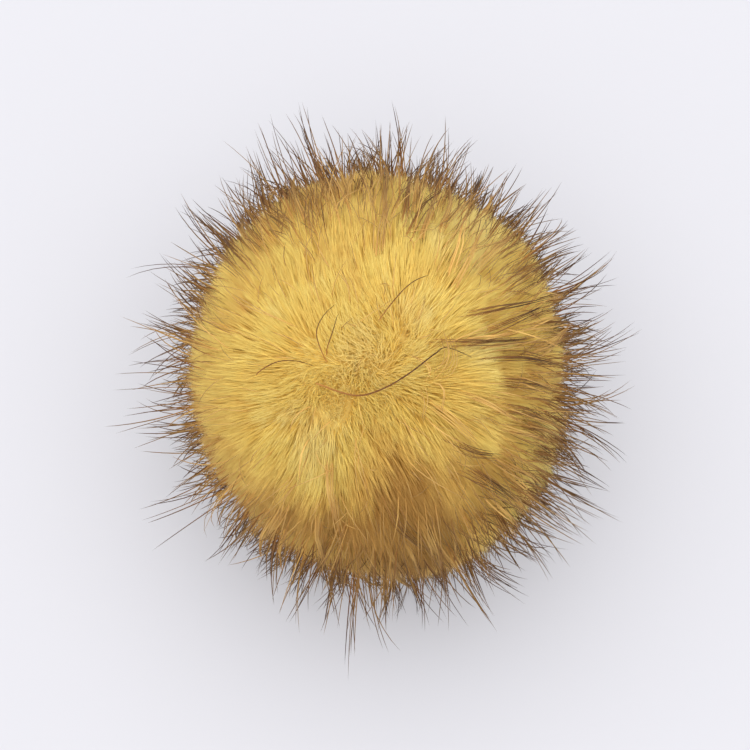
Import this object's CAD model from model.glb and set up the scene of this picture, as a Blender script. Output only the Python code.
"""Dresses the small fur pom pom: its underfur, its guard hair, and the studio that it stands in.

The pom pom is one gathered piece of dyed pelt. A soft core carries several layers of fine
underfur, whose strands lean together in tufts, and far fewer guard hairs stand out of it,
golden at the root and dark brown at the tip. All of it stands for the one solid of the frame.
"""

import logging
import math
from collections.abc import Mapping, Sequence
from dataclasses import dataclass, field
from enum import Enum

import bpy
import numpy as np
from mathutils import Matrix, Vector, kdtree


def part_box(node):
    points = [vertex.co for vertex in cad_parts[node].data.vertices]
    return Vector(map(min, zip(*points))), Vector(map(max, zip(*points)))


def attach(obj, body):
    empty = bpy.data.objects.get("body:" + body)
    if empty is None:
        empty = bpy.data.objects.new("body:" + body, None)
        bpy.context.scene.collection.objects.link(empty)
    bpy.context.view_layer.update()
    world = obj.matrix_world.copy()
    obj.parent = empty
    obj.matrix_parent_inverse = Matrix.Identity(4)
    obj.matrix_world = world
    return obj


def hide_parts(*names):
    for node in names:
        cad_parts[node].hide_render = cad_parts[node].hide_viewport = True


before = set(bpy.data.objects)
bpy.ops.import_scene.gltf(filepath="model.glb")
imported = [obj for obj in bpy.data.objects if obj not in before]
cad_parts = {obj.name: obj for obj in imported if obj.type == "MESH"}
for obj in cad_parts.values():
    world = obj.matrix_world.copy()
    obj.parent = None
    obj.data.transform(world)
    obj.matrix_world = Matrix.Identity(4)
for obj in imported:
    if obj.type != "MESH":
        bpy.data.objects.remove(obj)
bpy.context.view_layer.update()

log = logging.getLogger("pom_pom")

MM = 0.001
NODE = "fur_ball"
BODY = "root"
HAIR_MAP = "OFBake"
HAIR_TONES = (0.02, 0.98)

# The photograph looks down on the pom pom at this angle, from nearly half a metre away.
VIEW_ELEVATION = math.radians(73.5)
VIEW_DISTANCE = 0.46
VIEW_WIDTH = 66.0 * MM

# The longest guard hair reaches this much less far than it is long, because it leans and bends.
LOST_TO_BENDS = 2.4 * MM

Colour = tuple[float, float, float, float]


def linear(hex_colour: str) -> Colour:
    """Turns an sRGB colour into the linear one that shaders take.

    Args:
        hex_colour: six hex digits after a hash sign.

    Returns:
        linear red, green and blue, and an alpha of 1.
    """
    shares = [int(hex_colour[place : place + 2], 16) / 255.0 for place in (1, 3, 5)]
    red, green, blue = (
        share / 12.92 if share <= 0.04045 else ((share + 0.055) / 1.055) ** 2.4 for share in shares
    )
    return red, green, blue, 1.0


def add_node(
    tree: bpy.types.NodeTree,
    kind: str,
    settings: Mapping[str, object] | None = None,
    inputs: Mapping[str | int, object] | None = None,
) -> bpy.types.Node:
    """Adds a node with its settings and its links.

    Args:
        tree: the node tree that gets it.
        kind: the node's type, by its Blender name.
        settings: values for the node's own properties.
        inputs: a value for each input, or the output that it is linked from.

    Returns:
        the new node.
    """
    node = tree.nodes.new(kind)
    for name, value in (settings or {}).items():
        setattr(node, name, value)
    fill_in(node, inputs or {})
    return node


def fill_in(node: bpy.types.Node, inputs: Mapping[str | int, object]) -> None:
    """Gives a node its inputs.

    Args:
        node: the node.
        inputs: a value for each input, or the output that it is linked from.
    """
    for key, value in inputs.items():
        if isinstance(value, bpy.types.NodeSocket):
            node.id_data.links.new(value, node.inputs[key])
        else:
            node.inputs[key].default_value = value


def new_material(name: str) -> tuple[bpy.types.Material, bpy.types.NodeTree, bpy.types.Node]:
    """Starts a material with the one shader that a new material has.

    Args:
        name: the finish's name.

    Returns:
        the material, its node tree and its Principled shader.
    """
    material = bpy.data.materials.new(name)
    material.use_nodes = True
    return material, material.node_tree, material.node_tree.nodes["Principled BSDF"]


def set_stops(ramp: bpy.types.ColorRamp, stops: Sequence[tuple[float, str]]) -> None:
    """Gives a colour ramp its stops.

    Args:
        ramp: the ramp of a colour ramp node, with the two stops that a new one has.
        stops: each stop's place and hex colour, from first to last.
    """
    while len(ramp.elements) < len(stops):
        ramp.elements.new(1.0)
    for element, (place, hex_colour) in zip(ramp.elements, stops):
        element.position = place
        element.color = linear(hex_colour)


def unit(vectors: np.ndarray) -> np.ndarray:
    """Scales vectors along the last axis to length 1."""
    return vectors / np.maximum(np.linalg.norm(vectors, axis=-1, keepdims=True), 1e-12)


def rise(values: np.ndarray, low: float, high: float) -> np.ndarray:
    """A smooth step from 0 at low to 1 at high."""
    share = np.clip((values - low) / (high - low), 0.0, 1.0)
    return share * share * (3.0 - 2.0 * share)


def hump(values: np.ndarray, width: float) -> np.ndarray:
    """A smooth fall from 1 where the values are 0 to nearly 0 at twice the width."""
    return np.exp(-((values / width) ** 2))


def spread_directions(count: int, chance: np.random.Generator, jitter: float) -> np.ndarray:
    """Unit vectors spread evenly over a sphere and then moved a little at random.

    Args:
        count: how many.
        chance: the source of the moves.
        jitter: the moves' size, as a share of the mean distance between neighbours.

    Returns:
        an array of count by 3.
    """
    index = np.arange(count)
    height = 1.0 - 2.0 * (index + 0.5) / count
    ring = np.sqrt(1.0 - height * height)
    turn = math.pi * (3.0 - math.sqrt(5.0)) * index
    directions = np.stack([ring * np.cos(turn), ring * np.sin(turn), height], axis=1)
    spacing = math.sqrt(4.0 * math.pi / count)
    return unit(directions + jitter * spacing * chance.uniform(-1.0, 1.0, directions.shape))


def nearest(points: np.ndarray, centres: np.ndarray) -> np.ndarray:
    """The number of the nearest centre to each point."""
    tree = kdtree.KDTree(len(centres))
    for number, centre in enumerate(centres):
        tree.insert(centre, number)
    tree.balance()
    return np.array([tree.find(point)[1] for point in points])


class SoftNoise:
    """A smooth random field, made of plane waves of about one width."""

    WAVES = 24
    LENGTH_SHARES = (0.7, 1.5)
    SPREAD = 1.4

    def __init__(self, chance: np.random.Generator, width: float) -> None:
        """Draws the waves.

        Args:
            chance: the source of their directions, lengths and phases.
            width: the size of one soft hump, in metres.
        """
        headings = unit(chance.normal(size=(self.WAVES, 3)))
        lengths = 2.0 * width * chance.uniform(*self.LENGTH_SHARES, self.WAVES)
        self.waves = headings * (2.0 * math.pi / lengths)[:, None]
        self.phases = chance.uniform(0.0, 2.0 * math.pi, self.WAVES)

    def at(self, points: np.ndarray) -> np.ndarray:
        """The field at some points: about 0 on average, and mostly between -1 and 1."""
        total = np.sin(points @ self.waves.T + self.phases).sum(axis=1)
        return total / (self.SPREAD * math.sqrt(self.WAVES))


@dataclass(frozen=True)
class Ball:
    """The dense ball of underfur that the solid in the frame is built on."""

    half_width: float = 16.85 * MM
    half_depth: float = 18.0 * MM
    half_height: float = 16.6 * MM
    seat_radius: float = 5.8 * MM

    @property
    def half_sizes(self) -> np.ndarray:
        """How far it reaches from its middle along X, Y and Z."""
        return np.array([self.half_width, self.half_depth, self.half_height])

    @property
    def radius(self) -> float:
        """Its mean radius."""
        return float(self.half_sizes.mean())

    @property
    def centre(self) -> np.ndarray:
        """Its middle, as high as the flat spot underneath leaves it."""
        share = math.sqrt(1.0 - (self.seat_radius / self.half_width) ** 2)
        return np.array([0.0, 0.0, self.half_height * share])

    def outwards(self, directions: np.ndarray) -> np.ndarray:
        """The unit vectors that stand straight out of its surface."""
        return unit(directions / self.half_sizes)

    def at(self, directions: np.ndarray, heights: np.ndarray | float) -> np.ndarray:
        """Places on or near its surface.

        Args:
            directions: unit vectors from the middle of a round ball that this one is stretched from.
            heights: how far each place stands proud of the surface.

        Returns:
            the places.
        """
        proud = np.broadcast_to(heights, directions.shape[:-1])[..., None]
        return self.centre + self.half_sizes * directions + proud * self.outwards(directions)

    def facing(self, right: float, up: float) -> np.ndarray:
        """The direction of a place on the ball, given as the photograph shows it.

        Args:
            right: millimetres to the right of the ball's middle, in the photograph.
            up: millimetres above it.

        Returns:
            a unit vector, as at() takes it.
        """
        upwards = np.array([0.0, math.sin(VIEW_ELEVATION), math.cos(VIEW_ELEVATION)])
        nearer = np.array([0.0, -math.cos(VIEW_ELEVATION), math.sin(VIEW_ELEVATION)])
        flat = (right * MM * np.array([1.0, 0.0, 0.0]) + up * MM * upwards) / self.half_sizes
        slope = nearer / self.half_sizes
        half_sum = flat @ slope
        spare = max(0.0, half_sum**2 - (slope @ slope) * (flat @ flat - 1.0))
        return unit(flat + (math.sqrt(spare) - half_sum) / (slope @ slope) * slope)


@dataclass(frozen=True)
class Patch:
    """A place on the ball where the fur differs from the rest.

    It is given in millimetres to the right of the ball's middle and above it, as the
    photograph shows it, and its reach is in millimetres too.
    """

    right: float
    up: float
    reach: float
    change: float


def patchwork(ball: Ball, patches: Sequence[Patch], directions: np.ndarray) -> np.ndarray:
    """Adds up what soft-edged patches change at places on the ball.

    Args:
        ball: the ball that they lie on.
        patches: the patches.
        directions: the places, as the ball's at() takes them.

    Returns:
        the sum of the changes at each place.
    """
    total = np.zeros(len(directions))
    for patch in patches:
        middle = ball.facing(patch.right, patch.up)
        apart = ball.radius * np.linalg.norm(directions - middle, axis=1)
        total += patch.change * hump(apart, patch.reach * MM)
    return total


@dataclass
class Lie:
    """The way that the fur lies: away from a short parting at its crown, in soft drifts."""

    ball: Ball
    parting_mm: tuple[tuple[float, float], tuple[float, float]] = ((-5.0, -1.2), (1.6, 1.8))
    away_lean: float = 0.95
    away_degrees: float = 24.0
    flank_degrees: tuple[float, float] = (80.0, 125.0)
    flank_uprights: float = 0.50
    swirl_lean: float = 0.34
    swirl_starts: float = 0.12
    whorl_degrees: float = 15.0
    drift_lean: float = 0.32
    drift_width: float = 6.0 * MM
    ripple_lean: float = 0.10
    ripple_width: float = 2.0 * MM
    seat_lean: float = 1.4
    seat_height: float = 7.0 * MM
    streak_ring: float = 12.0 * MM
    streak_stretch: float = 4.7
    streak_twist: float = 0.5
    streak_waver: float = 0.17
    seed: int = 11
    drifts: list[SoftNoise] = field(init=False)
    ripples: list[SoftNoise] = field(init=False)
    waver: SoftNoise = field(init=False)

    def __post_init__(self) -> None:
        """Draws the drifts and ripples."""
        chance = np.random.default_rng(self.seed)
        self.drifts = [SoftNoise(chance, self.drift_width) for _ in range(3)]
        self.ripples = [SoftNoise(chance, self.ripple_width) for _ in range(3)]
        self.waver = SoftNoise(chance, self.drift_width)

    def crown(self, directions: np.ndarray) -> np.ndarray:
        """The direction of the place on the parting that each place is nearest to."""
        one, other = (self.ball.facing(right, up) for right, up in self.parting_mm)
        along = other - one
        share = np.clip((directions - one) @ along / (along @ along), 0.0, 1.0)
        return unit(one + share[:, None] * along)

    def angle(self, directions: np.ndarray) -> np.ndarray:
        """How far each place is from the parting, in radians seen from the ball's middle."""
        return np.arccos(np.clip((directions * self.crown(directions)).sum(axis=1), -1.0, 1.0))

    def near_crown(self, directions: np.ndarray, degrees: float) -> np.ndarray:
        """How near places are to the parting: 1 on it, and 0 well past so many degrees from it."""
        return hump(self.angle(directions), math.radians(degrees))

    def lean(self, directions: np.ndarray) -> np.ndarray:
        """How far the hair leans over at places on the ball, along its surface.

        Args:
            directions: the places, as the ball's at() takes them.

        Returns:
            a vector for each, in the ball's tangent plane, as a share of the hair's height.
        """
        crown = self.crown(directions)
        places = self.ball.at(directions, 0.0)
        angle = self.angle(directions)
        away = unit((directions * crown).sum(axis=1, keepdims=True) * directions - crown)
        swirl = unit(np.cross(crown, directions))

        away_share = rise(angle, 0.0, math.radians(self.away_degrees))
        away_share *= 1.0 - self.flank_uprights * rise(angle, *np.radians(self.flank_degrees))
        swirl_share = self.near_crown(directions, self.whorl_degrees) * rise(angle, 0.0, self.swirl_starts)
        low = np.clip(1.0 - places[:, 2] / self.seat_height, 0.0, 1.0)
        upright = np.array([0.0, 0.0, 1.0])
        off_seat = unit(upright - directions[:, 2:3] * directions)

        lean = self.away_lean * away_share[:, None] * away
        lean += self.swirl_lean * swirl_share[:, None] * swirl
        lean += self.drift_lean * np.stack([noise.at(places) for noise in self.drifts], axis=1)
        lean += self.ripple_lean * np.stack([noise.at(places) for noise in self.ripples], axis=1)
        lean += self.seat_lean * low[:, None] * off_seat
        return lean - (lean * directions).sum(axis=1, keepdims=True) * directions

    def streak_places(self, directions: np.ndarray) -> np.ndarray:
        """Unrolls the ball and squeezes it the way that the fur runs.

        Soft noise that is read at these places makes streaks that run with the fur.

        Args:
            directions: the places, as the ball's at() takes them.

        Returns:
            a point for each.
        """
        crown = unit(sum(self.ball.facing(right, up) for right, up in self.parting_mm))
        across = unit(np.cross(crown, np.array([0.0, 1.0, 0.0])))
        other = np.cross(crown, across)
        angle = self.angle(directions)
        turn = np.arctan2(directions @ other, directions @ across)
        turn -= self.streak_twist * self.near_crown(directions, self.whorl_degrees)
        turn += self.streak_waver * self.waver.at(self.ball.at(directions, 0.0))
        run = self.ball.radius * angle / self.streak_stretch
        return np.stack([self.streak_ring * np.cos(turn), self.streak_ring * np.sin(turn), run], axis=1)


@dataclass
class Strands:
    """Hairs as arrays, from root to tip, each a three-sided spike with a closed root."""

    paths: np.ndarray
    radii: np.ndarray
    tones: np.ndarray
    outward: np.ndarray
    softness: float = 0.5
    tone_width: float = 0.012
    map_from: float = 0.0

    SIDES = 3
    # The closed root reads a little of the map, and no corner lies on the map's very edge.
    ROOT_ON_MAP = 0.02
    MAP_EDGE = 0.001

    def points(self, chance: np.random.Generator) -> tuple[np.ndarray, np.ndarray]:
        """Works out the corners of every hair.

        Args:
            chance: turns each hair about its own line.

        Returns:
            the corners, hair by hair, ring by ring and the tip last, and their soft normals.
        """
        count, stations, _ = self.paths.shape
        along = unit(np.gradient(self.paths, axis=1))
        across = unit(np.cross(along.mean(axis=1), chance.normal(size=(count, 3))))
        side = unit(np.cross(along, across[:, None, :]))
        other = np.cross(along, side)
        turns = 2.0 * math.pi * np.arange(self.SIDES) / self.SIDES
        spokes = (
            np.cos(turns)[:, None] * side[:, :-1, None, :] + np.sin(turns)[:, None] * other[:, :-1, None, :]
        )
        rings = self.paths[:, :-1, None, :] + self.radii[:, :-1, None, None] * spokes
        corners = np.concatenate([rings.reshape(count, -1, 3), self.paths[:, -1:, :]], axis=1)
        outward = np.repeat(self.outward[:, None, :], corners.shape[1], axis=1)
        around = np.concatenate([spokes.reshape(count, -1, 3), along[:, -1:, :]], axis=1)
        normals = unit(self.softness * outward + (1.0 - self.softness) * around)
        return corners.reshape(-1, 3), normals.reshape(-1, 3)

    def faces(self) -> tuple[np.ndarray, np.ndarray]:
        """Works out the triangles of one hair.

        Returns:
            their corners' numbers, and the place of each corner on the hair's map, as a
            step across in tone and a share of the length.
        """
        rings = self.paths.shape[1] - 1
        tip = rings * self.SIDES
        triangles = [(2, 1, 0)]
        places = [((1.0, 0.0), (0.0, self.ROOT_ON_MAP), (-1.0, 0.0))]
        for ring in range(rings):
            here = ring / rings
            after = (ring + 1) / rings
            for side in range(self.SIDES):
                following = (side + 1) % self.SIDES
                one = ring * self.SIDES + side
                two = ring * self.SIDES + following
                if ring == rings - 1:
                    triangles.append((one, two, tip))
                    places.append(((-1.0, here), (1.0, here), (0.0, after)))
                    continue
                triangles.append((one, two, two + self.SIDES))
                places.append(((-1.0, here), (1.0, here), (1.0, after)))
                triangles.append((one, two + self.SIDES, one + self.SIDES))
                places.append(((-1.0, here), (1.0, after), (-1.0, after)))
        return np.array(triangles), np.array(places)

    def build(self, name: str, material: bpy.types.Material, seed: int) -> bpy.types.Object:
        """Makes one mesh of all the hairs.

        Args:
            name: the piece's name.
            material: what it is made of.
            seed: turns each hair about its own line.

        Returns:
            the new object.
        """
        corners, normals = self.points(np.random.default_rng(seed))
        triangles, places = self.faces()
        count = len(self.paths)
        per_hair = len(corners) // count
        all_faces = (triangles[None] + per_hair * np.arange(count)[:, None, None]).reshape(-1, 3)

        mesh = bpy.data.meshes.new(name)
        mesh.vertices.add(len(corners))
        mesh.vertices.foreach_set("co", corners.astype(np.float32).ravel())
        mesh.loops.add(all_faces.size)
        mesh.loops.foreach_set("vertex_index", all_faces.astype(np.int32).ravel())
        mesh.polygons.add(len(all_faces))
        mesh.polygons.foreach_set("loop_start", np.arange(0, all_faces.size, 3, dtype=np.int32))
        mesh.update(calc_edges=True)

        spots = np.empty((count, *places.shape), np.float32)
        spots[..., 0] = self.tones[:, None, None] + self.tone_width * places[None, ..., 0]
        spots[..., 1] = self.map_from + (1.0 - self.map_from) * places[None, ..., 1]
        layer = mesh.uv_layers.new(name=HAIR_MAP)
        layer.uv.foreach_set("vector", np.clip(spots, self.MAP_EDGE, 1.0 - self.MAP_EDGE).ravel())

        mesh.shade_smooth()
        mesh.normals_split_custom_set_from_vertices(normals.astype(np.float32))
        mesh.materials.append(material)
        piece = bpy.data.objects.new(name, mesh)
        bpy.context.scene.collection.objects.link(piece)
        return piece


@dataclass(frozen=True)
class DyedUnderfur:
    """Mink-like underfur, bleached and dyed gold.

    It is fine, crimped and very dense, so it looks like velvet: dull, deeper in colour
    between the tufts where the light is lost, and palest at the very tips.
    """

    name: str = "dyed_underfur"
    tan: str = "#BE8F48"
    orange: str = "#ECC265"
    gold: str = "#FCE078"
    cream: str = "#F9E8A4"
    root_shade: str = "#DEC08C"
    half_shade: str = "#FAEBD2"
    tip_shade: str = "#FFFFFF"
    roughness: float = 0.75
    gloss: float = 0.3
    sheen: float = 0.08
    sheen_roughness: float = 0.5

    def material(self) -> bpy.types.Material:
        """Colours each strand by its tone across its map and its length up the map."""
        material, tree, shader = new_material(self.name)
        place = add_node(tree, "ShaderNodeUVMap", {"uv_map": HAIR_MAP})
        split = add_node(tree, "ShaderNodeSeparateXYZ", inputs={0: place.outputs["UV"]})
        tone = add_node(tree, "ShaderNodeValToRGB", inputs={"Fac": split.outputs["X"]})
        set_stops(
            tone.color_ramp,
            [(0.0, self.tan), (0.33, self.orange), (0.66, self.gold), (1.0, self.cream)],
        )
        shade = add_node(tree, "ShaderNodeValToRGB", inputs={"Fac": split.outputs["Y"]})
        set_stops(
            shade.color_ramp,
            [(0.0, self.root_shade), (0.5, self.half_shade), (0.95, self.tip_shade)],
        )
        colour = add_node(
            tree,
            "ShaderNodeMix",
            {"data_type": "RGBA", "blend_type": "MULTIPLY"},
            {0: 1.0, 6: tone.outputs["Color"], 7: shade.outputs["Color"]},
        )
        looks = {
            "Base Color": colour.outputs[2],
            "Roughness": self.roughness,
            "Specular IOR Level": self.gloss,
            "Sheen Weight": self.sheen,
            "Sheen Roughness": self.sheen_roughness,
        }
        fill_in(shader, looks)
        return material


@dataclass(frozen=True)
class DyedGuardHair:
    """Mink-like guard hair: straight, glossy and stiff.

    The dye is gold near the root, and the natural dark brown of the tip shows through it.
    """

    name: str = "dyed_guard_hair"
    root: str = "#DDAA58"
    middle: str = "#A66F32"
    dark: str = "#6E421F"
    tip: str = "#3F2514"
    pale_middle: str = "#E6B968"
    pale_tip: str = "#B07E42"
    roughness: float = 0.5
    ior: float = 1.55
    gloss: float = 0.18

    def material(self) -> bpy.types.Material:
        """Darkens each hair towards its tip, less so the paler its tone."""
        material, tree, shader = new_material(self.name)
        place = add_node(tree, "ShaderNodeUVMap", {"uv_map": HAIR_MAP})
        split = add_node(tree, "ShaderNodeSeparateXYZ", inputs={0: place.outputs["UV"]})
        dark = add_node(tree, "ShaderNodeValToRGB", inputs={"Fac": split.outputs["Y"]})
        set_stops(
            dark.color_ramp,
            [(0.08, self.root), (0.21, self.middle), (0.38, self.dark), (0.74, self.tip)],
        )
        pale = add_node(tree, "ShaderNodeValToRGB", inputs={"Fac": split.outputs["Y"]})
        set_stops(pale.color_ramp, [(0.1, self.root), (0.5, self.pale_middle), (0.95, self.pale_tip)])
        colour = add_node(
            tree,
            "ShaderNodeMix",
            {"data_type": "RGBA"},
            {0: split.outputs["X"], 6: dark.outputs["Color"], 7: pale.outputs["Color"]},
        )
        looks = {
            "Base Color": colour.outputs[2],
            "Roughness": self.roughness,
            "IOR": self.ior,
            "Specular IOR Level": self.gloss,
        }
        fill_in(shader, looks)
        return material


@dataclass(frozen=True)
class FeltedCore:
    """The felted bottom of the underfur, seen only between the tufts as a deeper gold."""

    name: str = "felted_underfur"
    deep: str = "#CBA44E"
    light: str = "#E2C46C"
    roughness: float = 0.9
    tuft_mm: float = 0.9
    tuft_detail: float = 4.0
    bump_mm: float = 0.12

    def material(self) -> bpy.types.Material:
        """Mottles the core at the size of the tufts."""
        material, tree, shader = new_material(self.name)
        place = add_node(tree, "ShaderNodeTexCoord")
        tufts = add_node(
            tree,
            "ShaderNodeTexNoise",
            inputs={
                "Vector": place.outputs["Object"],
                "Scale": 1.0 / (self.tuft_mm * MM),
                "Detail": self.tuft_detail,
            },
        )
        colour = add_node(tree, "ShaderNodeValToRGB", inputs={"Fac": tufts.outputs["Fac"]})
        set_stops(colour.color_ramp, [(0.35, self.deep), (0.65, self.light)])
        bump = add_node(
            tree,
            "ShaderNodeBump",
            inputs={"Height": tufts.outputs["Fac"], "Distance": self.bump_mm * MM, "Strength": 1.0},
        )
        looks = {
            "Base Color": colour.outputs["Color"],
            "Roughness": self.roughness,
            "Normal": bump.outputs["Normal"],
        }
        fill_in(shader, looks)
        return material


@dataclass(frozen=True)
class FrostedAcrylic:
    """A frosted white acrylic table: pale, a little cool, with no gloss.

    A dim panel under it lets the shadow that the pom pom casts stay light.
    """

    name: str = "frosted_acrylic"
    colour: str = "#B4B3B7"
    glow_colour: str = "#F6F6FA"
    glow: float = 0.20
    roughness: float = 0.9
    gloss: float = 0.2

    def material(self) -> bpy.types.Material:
        """One even sheet, lit evenly from below."""
        material, _, shader = new_material(self.name)
        looks = {
            "Base Color": linear(self.colour),
            "Roughness": self.roughness,
            "Specular IOR Level": self.gloss,
            "Emission Color": linear(self.glow_colour),
            "Emission Strength": self.glow,
        }
        fill_in(shader, looks)
        return material


class Layer(Enum):
    """The layers of underfur, as (piece name, strands, stations along each)."""

    DEEP_ONE = ("underfur_deep_a", 46500, 2)
    DEEP_TWO = ("underfur_deep_b", 46500, 2)
    DEEP_THREE = ("underfur_deep_c", 46500, 2)
    OUTER = ("underfur_outer", 12000, 3)


@dataclass
class Core:
    """The felted bottom of the underfur: a lumpy ball inside the strands, flat where it rests."""

    ball: Ball
    depth: float = 2.2 * MM
    lump: float = 0.3 * MM
    lump_width: float = 3.0 * MM
    seat_gap: float = 0.15 * MM
    seed: int = 3

    def build(self) -> bpy.types.Object:
        """Makes the ball and presses it flat underneath."""
        bpy.ops.mesh.primitive_ico_sphere_add(subdivisions=5, radius=1.0)
        piece = bpy.context.object
        piece.name = "underfur_core"
        mesh = piece.data
        mesh.name = piece.name
        directions = np.empty(3 * len(mesh.vertices), np.float32)
        mesh.vertices.foreach_get("co", directions)
        directions = unit(directions.reshape(-1, 3).astype(float))
        lumps = SoftNoise(np.random.default_rng(self.seed), self.lump_width)
        heights = self.lump * lumps.at(self.ball.radius * directions) - self.depth
        places = self.ball.at(directions, heights)
        places[:, 2] = np.maximum(places[:, 2], self.seat_gap)
        mesh.vertices.foreach_set("co", places.astype(np.float32).ravel())
        mesh.shade_smooth()
        mesh.update()
        mesh.materials.append(FeltedCore().material())
        return piece


@dataclass
class Underfur:
    """The dense golden underfur: fine strands in soft tufts, and the tufts in larger locks."""

    ball: Ball
    lie: Lie
    root_depth: float = 2.5 * MM
    height_spread: float = 0.20 * MM
    lump_height: float = 0.50 * MM
    lump_width: float = 5.2 * MM
    streak_height: float = 0.17 * MM
    streak_width: float = 0.62 * MM
    streak_tone: float = 0.07
    streak_clear: tuple[float, float] = (5.0, 24.0)
    combed: tuple[Patch, ...] = (
        Patch(right=10.5, up=3.0, reach=5.0, change=1.3),
        Patch(right=13.2, up=-3.3, reach=4.0, change=1.2),
        Patch(right=10.8, up=-10.0, reach=4.6, change=0.9),
        Patch(right=2.0, up=-13.0, reach=5.0, change=0.5),
    )
    strand_radius: float = 0.050 * MM
    strand_taper: float = 0.55
    strand_tone: float = 0.05
    softness: float = 0.80
    root_jitter: float = 0.9
    tuft_jitter: float = 0.6
    tuft_count: int = 3400
    tuft_pull: tuple[float, float] = (0.0, 0.30)
    tuft_height_spread: float = 0.08 * MM
    tuft_tone: float = 0.035
    lock_count: int = 330
    lock_lean: float = 0.16
    lock_pull: float = 0.10
    lock_height_spread: float = 0.17 * MM
    lock_tone: float = 0.07
    crimp: float = 0.10
    crown_crimp: float = 0.15
    crown_curl: float = 0.24
    crown_degrees: float = 17.0
    bulge: float = 0.16
    wisp_share: float = 0.06
    wisp_height: float = 0.9 * MM
    full: tuple[Patch, ...] = (
        Patch(right=-12.0, up=-12.0, reach=6.5, change=-1.1),
        Patch(right=-15.5, up=-3.0, reach=5.0, change=-0.6),
        Patch(right=-15.0, up=8.5, reach=5.0, change=-0.7),
        Patch(right=10.0, up=-14.0, reach=6.0, change=1.0),
        Patch(right=12.5, up=10.5, reach=5.0, change=0.3),
    )
    floor_gap: float = 0.06 * MM
    base_tone: float = 0.60
    tone_limits: tuple[float, float] = (0.02, 0.80)
    low_tone: float = -0.34
    low_heights: tuple[float, float] = (8.0 * MM, 29.0 * MM)
    patches: tuple[Patch, ...] = (
        Patch(right=-8.7, up=-4.1, reach=4.6, change=0.13),
        Patch(right=-5.6, up=-6.8, reach=3.8, change=0.13),
        Patch(right=-3.4, up=-13.0, reach=4.6, change=-0.20),
        Patch(right=-1.0, up=9.6, reach=7.5, change=-0.10),
        Patch(right=-9.0, up=8.6, reach=5.0, change=-0.07),
        Patch(right=-8.8, up=-10.2, reach=4.6, change=-0.36),
        Patch(right=-12.6, up=-0.5, reach=3.6, change=-0.08),
        Patch(right=5.4, up=-7.4, reach=4.0, change=-0.10),
        Patch(right=2.5, up=3.6, reach=6.0, change=0.10),
        Patch(right=8.3, up=12.0, reach=4.8, change=0.22),
        Patch(right=15.6, up=-3.2, reach=3.4, change=0.34),
        Patch(right=13.8, up=-9.2, reach=3.2, change=0.34),
        Patch(right=4.5, up=-12.2, reach=6.0, change=-0.32),
        Patch(right=0.5, up=-15.0, reach=7.0, change=-0.40),
        Patch(right=14.5, up=1.5, reach=4.0, change=-0.16),
        Patch(right=11.6, up=-1.4, reach=3.2, change=-0.22),
        Patch(right=-5.2, up=-1.5, reach=1.6, change=-0.15),
        Patch(right=1.5, up=1.7, reach=0.9, change=-0.14),
        Patch(right=0.0, up=1.5, reach=5.5, change=0.20),
        Patch(right=0.8, up=-8.2, reach=4.6, change=-0.31),
        Patch(right=-3.6, up=16.6, reach=3.4, change=-0.42),
        Patch(right=-10.0, up=13.2, reach=3.4, change=-0.22),
    )
    seed: int = 5
    tufts: np.ndarray = field(init=False)
    lock_of_tuft: np.ndarray = field(init=False)
    locks: np.ndarray = field(init=False)
    draw: np.ndarray = field(init=False)
    lift: np.ndarray = field(init=False)
    tone: np.ndarray = field(init=False)
    tuft_lean: np.ndarray = field(init=False)
    lumps: SoftNoise = field(init=False)
    streaks: SoftNoise = field(init=False)

    def __post_init__(self) -> None:
        """Places the tufts and the larger locks that they belong to."""
        chance = np.random.default_rng(self.seed)
        self.tufts = spread_directions(self.tuft_count, chance, self.tuft_jitter)
        self.locks = spread_directions(self.lock_count, chance, self.tuft_jitter)
        self.lock_of_tuft = nearest(self.tufts, self.locks)
        self.draw = chance.uniform(*self.tuft_pull, self.tuft_count)
        self.lumps = SoftNoise(chance, self.lump_width)
        self.streaks = SoftNoise(chance, self.streak_width)

        lock_lift = chance.normal(0.0, self.lock_height_spread, self.lock_count)
        lock_tone = chance.normal(0.0, self.lock_tone, self.lock_count)
        lock_lean = chance.normal(0.0, self.lock_lean, (self.lock_count, 3))
        self.lift = lock_lift[self.lock_of_tuft]
        self.lift += chance.normal(0.0, self.tuft_height_spread, self.tuft_count)
        self.tone = lock_tone[self.lock_of_tuft]
        self.tone += chance.normal(0.0, self.tuft_tone, self.tuft_count)
        self.tuft_lean = self.lie.lean(self.tufts) + lock_lean[self.lock_of_tuft]
        curl = self.crown_curl * self.lie.near_crown(self.tufts, self.crown_degrees)
        lock_curl = chance.normal(0.0, 1.0, (self.lock_count, 3))
        tuft_curl = lock_curl[self.lock_of_tuft] + chance.normal(0.0, 1.0, (self.tuft_count, 3))
        self.tuft_lean += curl[:, None] * tuft_curl

    def dye(self, directions: np.ndarray) -> np.ndarray:
        """How the dye took at places on the ball: 0 is tan and 1 is cream."""
        height = self.ball.at(directions, 0.0)[:, 2]
        low = 1.0 - rise(height, *self.low_heights)
        return self.base_tone + self.low_tone * low + patchwork(self.ball, self.patches, directions)

    def strands(self, count: int, stations: int, seed: int) -> Strands:
        """Grows one layer of underfur.

        Args:
            count: how many strands.
            stations: how many points along each.
            seed: draws this layer's own places and lengths.

        Returns:
            the strands, roots inside the core.
        """
        chance = np.random.default_rng(seed)
        roots = spread_directions(count, chance, self.root_jitter)
        tuft = nearest(roots, self.tufts)
        lock_middle = self.locks[self.lock_of_tuft[tuft]]
        streak = self.streaks.at(self.lie.streak_places(roots))
        streak *= 1.0 + patchwork(self.ball, self.combed, roots)
        streak *= rise(self.lie.angle(roots), *np.radians(self.streak_clear))

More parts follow.
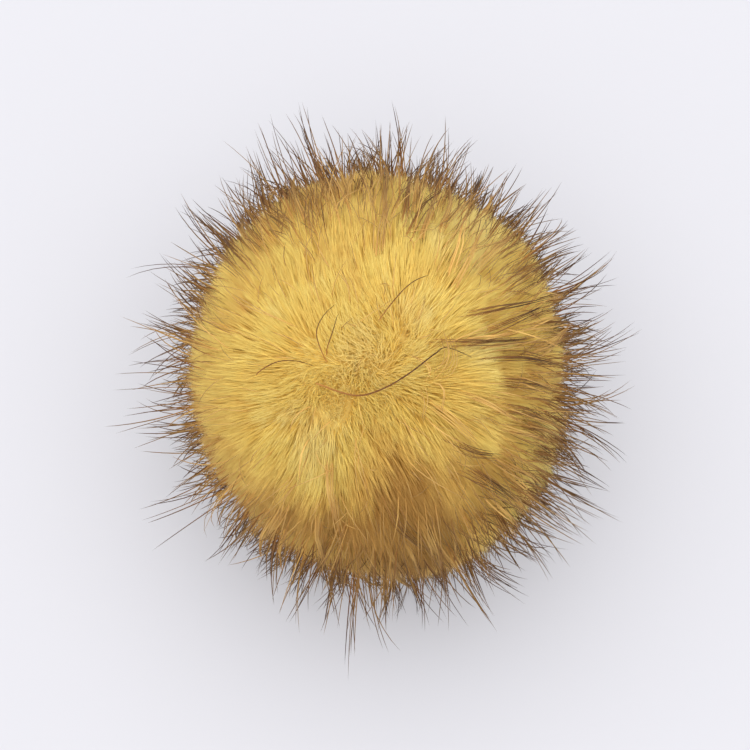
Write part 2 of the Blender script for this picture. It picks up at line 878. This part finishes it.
        height = self.root_depth + self.lift[tuft] + self.streak_height * streak
        height += self.lump_height * self.lumps.at(self.ball.radius * roots)
        height += MM * patchwork(self.ball, self.full, roots)
        height -= np.abs(chance.normal(0.0, self.height_spread, count))
        wisp = chance.random(count) < self.wisp_share
        height += wisp * self.wisp_height * chance.random(count)

        crimp = self.crimp + self.crown_crimp * self.lie.near_crown(roots, self.crown_degrees)
        crimp = crimp[:, None] * chance.normal(0.0, 1.0, (count, 3))
        lean = 0.5 * (self.tuft_lean[tuft] + self.lie.lean(roots)) + crimp
        drawn = roots + self.draw[tuft][:, None] * (self.tufts[tuft] - roots)
        drawn += self.lock_pull * (lock_middle - roots)
        tips = unit(drawn + lean * (height / self.ball.radius)[:, None])
        start = self.ball.at(roots, -self.root_depth)
        end = self.ball.at(tips, height - self.root_depth)

        shares = np.linspace(0.0, 1.0, stations)[None, :, None]
        paths = start[:, None, :] + shares * (end - start)[:, None, :]
        bulge = self.bulge * height[:, None, None] * np.sin(math.pi * shares)
        paths = paths + bulge * roots[:, None, :]
        paths[..., 2] = np.maximum(paths[..., 2], self.floor_gap)

        radii = self.strand_radius * (1.0 - self.strand_taper * shares[..., 0]) * np.ones((count, 1))
        tones = self.dye(roots) + self.tone[tuft] + self.streak_tone * streak
        tones += chance.normal(0.0, self.strand_tone, count)
        tones = np.clip(tones, *self.tone_limits)
        return Strands(paths, radii, tones, self.ball.outwards(roots), softness=self.softness)

    def build(self) -> list[bpy.types.Object]:
        """Makes a mesh for each layer, all of one material."""
        material = DyedUnderfur().material()
        pieces = []
        for number, layer in enumerate(Layer):
            name, count, stations = layer.value
            strands = self.strands(count, stations, self.seed + 10 * (number + 1))
            pieces.append(strands.build(name, material, seed=number))
        return pieces


@dataclass
class GuardHair:
    """The longer guard hairs that stand out of the underfur, drawn together in pointed tufts."""

    ball: Ball
    lie: Lie
    longest: float
    name: str = "guard_hair"
    tried: int = 3600
    tuft_count: int = 800
    stations: int = 8
    root_jitter: float = 1.2
    tuft_jitter: float = 0.7
    sparse_share: float = 0.08
    crown_clear: tuple[float, float] = (28.0, 76.0)
    root_depth: float = 1.6 * MM
    shortest: float = 3.0 * MM
    length_shape: tuple[float, float] = (1.7, 2.6)
    own_length: tuple[float, float] = (0.58, 1.0)
    root_radius: float = 0.054 * MM
    radius_spread: tuple[float, float] = (0.75, 1.25)
    swell: tuple[float, float, float] = (0.85, 0.7, 1.3)
    root_pull: float = 0.38
    tuft_pull: float = 0.82
    single_share: float = 0.20
    single_spread: float = 0.26
    drawn_spread: float = 0.04
    lean_share: float = 0.42
    lean_spread: float = 0.30
    lean_at_root: float = 0.35
    lean_gained: float = 0.9
    curl: float = 0.34
    own_curl: float = 0.4
    curl_turns_at: float = 0.3
    droop: float = 0.08
    floor_gap: float = 0.08 * MM
    softness: float = 0.3
    tone: float = 0.12
    crown_tone: float = 0.65
    crown_degrees: tuple[float, float] = (20.0, 75.0)
    tone_spread: float = 0.14
    thicker: tuple[Patch, ...] = (
        Patch(right=-16.5, up=-2.0, reach=9.0, change=-0.34),
        Patch(right=-11.5, up=-13.0, reach=8.0, change=-0.36),
        Patch(right=1.0, up=-18.0, reach=8.0, change=-0.30),
        Patch(right=13.0, up=-11.5, reach=6.0, change=-0.16),
        Patch(right=16.0, up=2.0, reach=8.0, change=0.28),
    )
    longer: tuple[Patch, ...] = (
        Patch(right=13.5, up=-10.5, reach=7.5, change=0.38),
        Patch(right=-4.0, up=-16.5, reach=5.0, change=0.12),
    )
    seed: int = 21

    def build(self, material: bpy.types.Material) -> bpy.types.Object:
        """Grows the hairs step by step, so that they can level out where they meet the floor."""
        chance = np.random.default_rng(self.seed)
        roots = spread_directions(self.tried, chance, self.root_jitter)
        tufts = spread_directions(self.tuft_count, chance, self.tuft_jitter)
        full_share = rise(self.lie.angle(roots), *np.radians(self.crown_clear))
        share_kept = self.sparse_share + (1.0 - self.sparse_share) * full_share
        share_kept *= 1.0 + patchwork(self.ball, self.thicker, roots)
        roots = roots[chance.random(self.tried) < share_kept]
        count = len(roots)
        tuft = nearest(roots, tufts)
        single = chance.random(count) < self.single_share
        roots = unit(roots + np.where(single, 0.0, self.root_pull)[:, None] * (tufts[tuft] - roots))
        tuft_length = chance.beta(*self.length_shape, self.tuft_count)
        own_length = chance.uniform(*self.own_length, count)
        length = (self.shortest + (self.longest - self.shortest) * tuft_length[tuft]) * own_length
        length *= 1.0 + patchwork(self.ball, self.longer, roots)
        length += self.root_depth

        tuft_lean = self.lean_share * self.lie.lean(tufts)
        tuft_lean += chance.normal(0.0, self.lean_spread, (self.tuft_count, 3))
        own_spread = np.where(single, self.single_spread, self.drawn_spread)[:, None]
        lean = tuft_lean[tuft] + own_spread * chance.normal(0.0, 1.0, (count, 3))
        tuft_curl = self.curl * chance.normal(0.0, 1.0, (self.tuft_count, 3))
        curl = tuft_curl[tuft] + self.own_curl * self.curl * chance.normal(0.0, 1.0, (count, 3))
        pull = np.where(single, 0.0, self.tuft_pull)[:, None]
        draw = pull * self.ball.radius * (tufts[tuft] - roots) / length[:, None]

        outwards = self.ball.outwards(roots)
        place = self.ball.at(roots, -self.root_depth)
        step = length / (self.stations - 1)
        paths = [place]
        for number in range(1, self.stations):
            share = number / (self.stations - 1)
            heading = outwards + (self.lean_at_root + self.lean_gained * share) * lean + draw
            heading += (share - self.curl_turns_at) * curl
            heading[:, 2] -= self.droop * share
            place = self.onwards(place, unit(heading), step)
            paths.append(place)

        shares = np.linspace(0.0, 1.0, self.stations)[None, :]
        # A hair is thickest a quarter of the way along, and then runs out to a fine point.
        at_root, gain, loss = self.swell
        swell = at_root + gain * shares - loss * shares**2
        radii = self.root_radius * swell * chance.uniform(*self.radius_spread, (count, 1))
        crowned = 1.0 - rise(self.lie.angle(roots), *np.radians(self.crown_degrees))
        tones = self.tone + self.crown_tone * crowned + chance.normal(0.0, self.tone_spread, count)
        tones = np.clip(tones, *HAIR_TONES)
        strands = Strands(np.stack(paths, axis=1), radii, tones, outwards, softness=self.softness)
        return strands.build(self.name, material, seed=self.seed)

    def onwards(self, place: np.ndarray, heading: np.ndarray, step: np.ndarray) -> np.ndarray:
        """Takes each hair one step on, along the floor where it meets it.

        Args:
            place: where each hair has got to.
            heading: the unit vector that it heads along.
            step: how far it goes.

        Returns:
            the next point of each hair.
        """
        after = place + step[:, None] * heading
        low = after[:, 2] < self.floor_gap
        flat = unit(heading[low] * np.array([1.0, 1.0, 0.0]))
        drop = np.clip((self.floor_gap - place[low, 2]) / step[low], -1.0, 1.0)
        along = np.sqrt(1.0 - drop * drop)[:, None] * flat
        along[:, 2] = drop
        after[low] = place[low] + step[low, None] * along
        return after


@dataclass
class SweptHair:
    """Guard hairs that are combed flat over the underfur in thin wisps, closer in some patches."""

    ball: Ball
    lie: Lie
    wisps_tried: int = 1300
    hairs_per_wisp: int = 6
    thinnest: float = 0.03
    stations: int = 8
    wisp_jitter: float = 1.2
    root_depth: float = 0.7 * MM
    root_spread: float = 0.24 * MM
    length: tuple[float, float] = (3.6 * MM, 8.0 * MM)
    own_length: tuple[float, float] = (0.75, 1.0)
    lift: tuple[float, float] = (0.25 * MM, 0.85 * MM)
    lift_spread: float = 0.06 * MM
    rises_over: float = 0.45
    tip_lift: float = 0.8 * MM
    root_radius: float = 0.056 * MM
    radius_spread: tuple[float, float] = (0.7, 1.2)
    taper: float = 0.6
    floor_gap: float = 0.08 * MM
    closer: tuple[Patch, ...] = (
        Patch(right=10.0, up=3.0, reach=4.6, change=0.30),
        Patch(right=13.2, up=-3.3, reach=3.6, change=0.20),
        Patch(right=10.8, up=-10.3, reach=4.4, change=0.14),
        Patch(right=2.0, up=-15.0, reach=5.0, change=0.34),
        Patch(right=-5.0, up=-14.0, reach=4.2, change=0.28),
        Patch(right=4.6, up=13.5, reach=3.6, change=0.30),
        Patch(right=-2.4, up=15.7, reach=4.0, change=0.35),
        Patch(right=-9.6, up=12.4, reach=3.6, change=0.25),
        Patch(right=-8.0, up=-7.0, reach=5.0, change=-0.06),
    )
    flank_share: float = 0.20
    flank_degrees: tuple[float, float] = (60.0, 90.0)
    crown_degrees: float = 16.0
    stray: float = 0.12
    crown_stray: float = 0.55
    hook: float = 0.012
    crown_hook: float = 0.16
    tone: float = 0.74
    close_tone: float = -0.75
    wisp_tone: float = 0.18
    hair_tone: float = 0.06
    clear_heights: tuple[float, float] = (6.0 * MM, 12.0 * MM)
    least_lean: tuple[float, float] = (0.18, 0.45)
    map_from: float = 0.14
    seed: int = 31

    def build(self, material: bpy.types.Material) -> bpy.types.Object:
        """Leads each hair along the lie of the fur, just over the underfur."""
        chance = np.random.default_rng(self.seed)
        wisps = spread_directions(self.wisps_tried, chance, self.wisp_jitter)
        flank = rise(self.lie.angle(wisps), *np.radians(self.flank_degrees))
        share_kept = self.thinnest + self.flank_share * flank + patchwork(self.ball, self.closer, wisps)
        share_kept *= rise(self.ball.at(wisps, 0.0)[:, 2], *self.clear_heights)
        crowned = self.lie.near_crown(wisps, self.crown_degrees)
        leaning = rise(np.linalg.norm(self.lie.lean(wisps), axis=1), *self.least_lean)
        share_kept *= np.maximum(leaning, crowned)
        kept = chance.random(self.wisps_tried) < share_kept
        wisps = wisps[kept]
        crowned = crowned[kept]
        wisp = np.repeat(np.arange(len(wisps)), self.hairs_per_wisp)
        count = len(wisp)

        spread = self.root_spread / self.ball.radius * chance.normal(0.0, 1.0, (count, 3))
        roots = unit(wisps[wisp] + spread)
        length = chance.uniform(*self.length, len(wisps))[wisp] * chance.uniform(*self.own_length, count)
        lift = chance.uniform(*self.lift, len(wisps))[wisp]
        lift += self.lift_spread * chance.normal(0.0, 1.0, count)
        stray = (self.stray + self.crown_stray * crowned)[:, None]
        stray = (stray * chance.normal(0.0, 1.0, (len(wisps), 3)))[wisp]
        hook = (self.hook + self.crown_hook * crowned)[:, None]
        hook = (hook * chance.normal(0.0, 1.0, (len(wisps), 3)))[wisp]
        gather = -spread * self.ball.radius / length[:, None]

        step = (length / (self.stations - 1) / self.ball.radius)[:, None]
        spot = roots
        paths = [self.ball.at(spot, -self.root_depth)]
        for number in range(1, self.stations):
            share = number / (self.stations - 1)
            run = self.lie.lean(spot) + stray + number * hook
            run -= (run * spot).sum(axis=1, keepdims=True) * spot
            spot = unit(spot + step * (unit(run) + gather))
            up = float(rise(np.array(share), 0.0, self.rises_over))
            height = (lift + self.root_depth) * up - self.root_depth + self.tip_lift * share**3
            paths.append(self.ball.at(spot, height))
        paths = np.stack(paths, axis=1)
        paths[..., 2] = np.maximum(paths[..., 2], self.floor_gap)

        shares = np.linspace(0.0, 1.0, self.stations)[None, :]
        thickness = chance.uniform(*self.radius_spread, (count, 1))
        radii = self.root_radius * (1.0 - self.taper * shares**2) * thickness
        wisp_tone = self.tone + self.close_tone * share_kept[kept]
        wisp_tone += chance.normal(0.0, self.wisp_tone, len(wisps))
        tones = np.clip(wisp_tone[wisp] + chance.normal(0.0, self.hair_tone, count), *HAIR_TONES)
        strands = Strands(paths, radii, tones, self.ball.outwards(roots), map_from=self.map_from)
        return strands.build("guard_hair_swept", material, seed=self.seed)


@dataclass(frozen=True)
class Bend:
    """A lock of hair that lies over the fur where the photograph shows it.

    Its route is given in millimetres to the right of the ball's middle and above it.
    """

    name: str
    route: tuple[tuple[float, float], ...]
    hairs: int = 1
    radius_mm: float = 0.053


@dataclass
class PlacedHair:
    """The single hairs bent across the crown and the thin locks combed out from it."""

    ball: Ball
    bends: tuple[Bend, ...] = (
        Bend(
            "long_hair_1",
            ((-5.2, -0.7), (-1.8, -1.7), (0.4, -1.25), (2.6, 0.0), (4.7, 1.6), (5.8, 2.2), (8.0, 1.4)),
            radius_mm=0.09,
        ),
        Bend("long_hair_2", ((-10.6, 0.0), (-8.2, 1.0), (-6.4, 1.1), (-4.9, 0.7)), radius_mm=0.06),
        Bend("long_hair_3", ((-4.3, 1.2), (-4.8, 3.3), (-4.2, 4.7), (-3.2, 5.8)), radius_mm=0.06),
        Bend("long_hair_4", ((-4.3, 1.8), (-3.4, 3.6), (-3.0, 5.0)), radius_mm=0.06),
        Bend("long_hair_5", ((0.3, 4.8), (2.6, 7.2), (4.4, 8.2)), radius_mm=0.06),
        Bend("combed_lock_1", ((6.7, 5.3), (10.8, 5.6), (14.8, 6.5)), hairs=12),
        Bend("combed_lock_2", ((4.6, 3.1), (9.4, 2.7), (14.0, 3.1)), hairs=9),
        Bend("combed_lock_3", ((9.2, 1.6), (12.4, 1.5), (15.6, 0.8)), hairs=10),
        Bend("combed_lock_4", ((10.3, -0.4), (12.6, -0.6), (14.9, -1.3)), hairs=9),
        Bend("combed_lock_5", ((10.6, -2.9), (12.6, -3.1), (14.6, -4.0)), hairs=9),
        Bend("combed_lock_6", ((5.8, -5.8), (8.2, -6.5), (10.6, -6.7)), hairs=8),
        Bend("combed_lock_7", ((7.0, -8.2), (9.4, -9.0), (12.0, -10.8)), hairs=9),
        Bend("combed_lock_8", ((2.4, 12.0), (4.2, 14.3), (6.4, 15.9)), hairs=8),
        Bend("combed_lock_9", ((0.6, -10.4), (2.2, -12.6), (4.4, -14.6)), hairs=8),
        Bend("combed_lock_10", ((-11.0, 9.4), (-12.2, 11.0), (-12.8, 12.4)), hairs=7),
    )
    steps: int = 6
    stations: int = 12
    root_depth: float = 0.7 * MM
    lift: float = 0.95 * MM
    rises_over: float = 0.40
    arch_degrees: float = 130.0
    arch_start: float = 0.6
    latest_start: float = 0.40
    earliest_end: float = 0.25
    lock_width_mm: float = 0.34
    gathered: float = 0.7
    lowered: float = 0.5
    thinned: float = 0.3
    taper: float = 0.7
    softness: float = 0.3
    map_from: float = 0.18
    tone: float = 0.03
    lock_tone: float = 0.14
    seed: int = 41

    def build(self, material: bpy.types.Material) -> list[bpy.types.Object]:
        """Makes a mesh of each lock.

        Its hairs leave the fur one after another and are drawn together towards their tips.
        """
        chance = np.random.default_rng(self.seed)
        pieces = []
        for bend in self.bends:
            hairs = bend.hairs
            loose = float(hairs > 1)
            stations = self.stations if loose else self.steps * (len(bend.route) - 1) + 1
            shares = np.linspace(0.0, 1.0, stations)
            start = loose * chance.uniform(0.0, self.latest_start, (hairs, 1))
            end = 1.0 - loose * chance.uniform(0.0, self.earliest_end, (hairs, 1))
            along = start + (end - start) * shares
            apart = loose * self.lock_width_mm * chance.normal(0.0, 1.0, (hairs, 1, 2))
            through = self.read(bend.route, along) + apart * (1.0 - self.gathered * along)[..., None]
            spots = np.array([[self.ball.facing(right, up) for right, up in hair] for hair in through])

            lift = self.lift * (1.0 - loose * chance.uniform(0.0, self.lowered, (hairs, 1)))
            out = rise(shares, 0.0, self.rises_over)
            if not loose:
                out = np.sin(math.radians(self.arch_degrees) * shares) ** self.arch_start
            heights = (lift + self.root_depth) * out - self.root_depth
            thickness = 1.0 - self.thinned * loose * chance.random((hairs, 1))
            radii = bend.radius_mm * MM * thickness * (1.0 - self.taper * shares**2)
            tones = np.clip(self.tone + self.lock_tone * loose * chance.random(hairs), *HAIR_TONES)
            strands = Strands(
                self.ball.at(spots, heights),
                radii,
                tones,
                self.ball.outwards(spots.mean(axis=1)),
                softness=self.softness,
                map_from=self.map_from,
            )
            pieces.append(strands.build(bend.name, material, seed=self.seed))
        return pieces

    def read(self, route: Sequence[tuple[float, float]], along: np.ndarray) -> np.ndarray:
        """Reads places off the smooth curve through a route.

        Args:
            route: its points, as Bend gives them.
            along: how far along the curve each place is, as a share.

        Returns:
            the places, in millimetres right and up.
        """
        curve = self.smooth(np.array(route))
        shares = np.linspace(0.0, 1.0, len(curve))
        return np.stack([np.interp(along, shares, curve[:, axis]) for axis in range(2)], axis=-1)

    def smooth(self, route: np.ndarray) -> np.ndarray:
        """Reads a smooth curve through the points of a route.

        Args:
            route: places as the photograph shows them, in millimetres right and up.

        Returns:
            the places with steps between them, on a Catmull-Rom curve.
        """
        ends = np.concatenate([2 * route[:1] - route[1:2], route, 2 * route[-1:] - route[-2:-1]])
        places = []
        for number in range(len(route) - 1):
            before, one, two, after = ends[number : number + 4]
            for share in np.arange(self.steps) / self.steps:
                bend = 2 * before - 5 * one + 4 * two - after
                twist = 3 * one - before - 3 * two + after
                places.append(one + 0.5 * share * (two - before + share * (bend + share * twist)))
        return np.array([*places, route[-1]])


@dataclass
class Studio:
    """A plain pale floor, a broad soft light overhead and behind, and the photograph's camera."""

    ball: Ball
    floor_size: float = 8.0
    key_place: tuple[float, float, float] = (-0.05, 0.08, 0.90)
    key_size: float = 1.5
    key_power: float = 7.7
    fill_colour: str = "#F4F5F8"
    fill_strength: float = 1.16
    sensor_width: float = 36.0
    nearest_seen: float = 0.01

    def build(self) -> None:
        """Makes the floor, the lights and the camera."""
        bpy.ops.mesh.primitive_plane_add(size=self.floor_size)
        floor = bpy.context.object
        floor.name = "floor"
        floor.data.materials.append(FrostedAcrylic().material())

        world = bpy.data.worlds.new("studio")
        world.use_nodes = True
        sky = world.node_tree.nodes["Background"]
        sky.inputs["Color"].default_value = linear(self.fill_colour)
        sky.inputs["Strength"].default_value = self.fill_strength
        bpy.context.scene.world = world

        light = bpy.data.lights.new("soft_box", "AREA")
        light.size = self.key_size
        light.energy = self.key_power
        lamp = bpy.data.objects.new("soft_box", light)
        lamp.location = self.key_place
        lamp.rotation_euler = (Vector(self.ball.centre) - lamp.location).to_track_quat("-Z", "Y").to_euler()
        bpy.context.scene.collection.objects.link(lamp)

        camera = bpy.data.cameras.new("camera")
        camera.sensor_width = self.sensor_width
        camera.lens = camera.sensor_width * VIEW_DISTANCE / VIEW_WIDTH
        camera.clip_start = self.nearest_seen
        eye = bpy.data.objects.new("camera", camera)
        back = Vector((0.0, -math.cos(VIEW_ELEVATION), math.sin(VIEW_ELEVATION)))
        eye.location = Vector(self.ball.centre) + VIEW_DISTANCE * back
        eye.rotation_euler = back.to_track_quat("Z", "Y").to_euler()
        bpy.context.scene.collection.objects.link(eye)
        bpy.context.scene.camera = eye
        bpy.context.scene.view_settings.view_transform = "Standard"


def hand_over(piece: bpy.types.Object) -> None:
    """Has a piece ride with the frame, stand for the frame's solid and take its slot's finish."""
    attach(piece, BODY)
    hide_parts(NODE)
    log.info("%s: %d triangles", piece.name, len(piece.data.polygons))


def main() -> None:
    """Builds the pom pom and its studio, and notes how its size compares with the frame's."""
    low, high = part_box(NODE)
    ball = Ball()
    lie = Lie(ball)
    reach = max(high.x - low.x, high.y - low.y) / 2.0
    longest = reach - ball.radius + LOST_TO_BENDS

    hand_over(Core(ball).build())
    for piece in Underfur(ball, lie).build():
        hand_over(piece)
    material = DyedGuardHair().material()
    hand_over(GuardHair(ball, lie, longest).build(material))
    short = GuardHair(
        ball,
        lie,
        name="guard_hair_short",
        longest=3.8 * MM,
        shortest=1.2 * MM,
        tried=5700,
        tuft_count=2400,
        stations=5,
        crown_clear=(24.0, 70.0),
        root_radius=0.048 * MM,
        tuft_pull=0.5,
        single_share=0.4,
        seed=22,
    )
    hand_over(short.build(material))
    hand_over(SweptHair(ball, lie).build(material))
    for piece in PlacedHair(ball).build(material):
        hand_over(piece)
    Studio(ball).build()


if __name__ == "__main__":
    logging.basicConfig(level=logging.INFO)
    main()
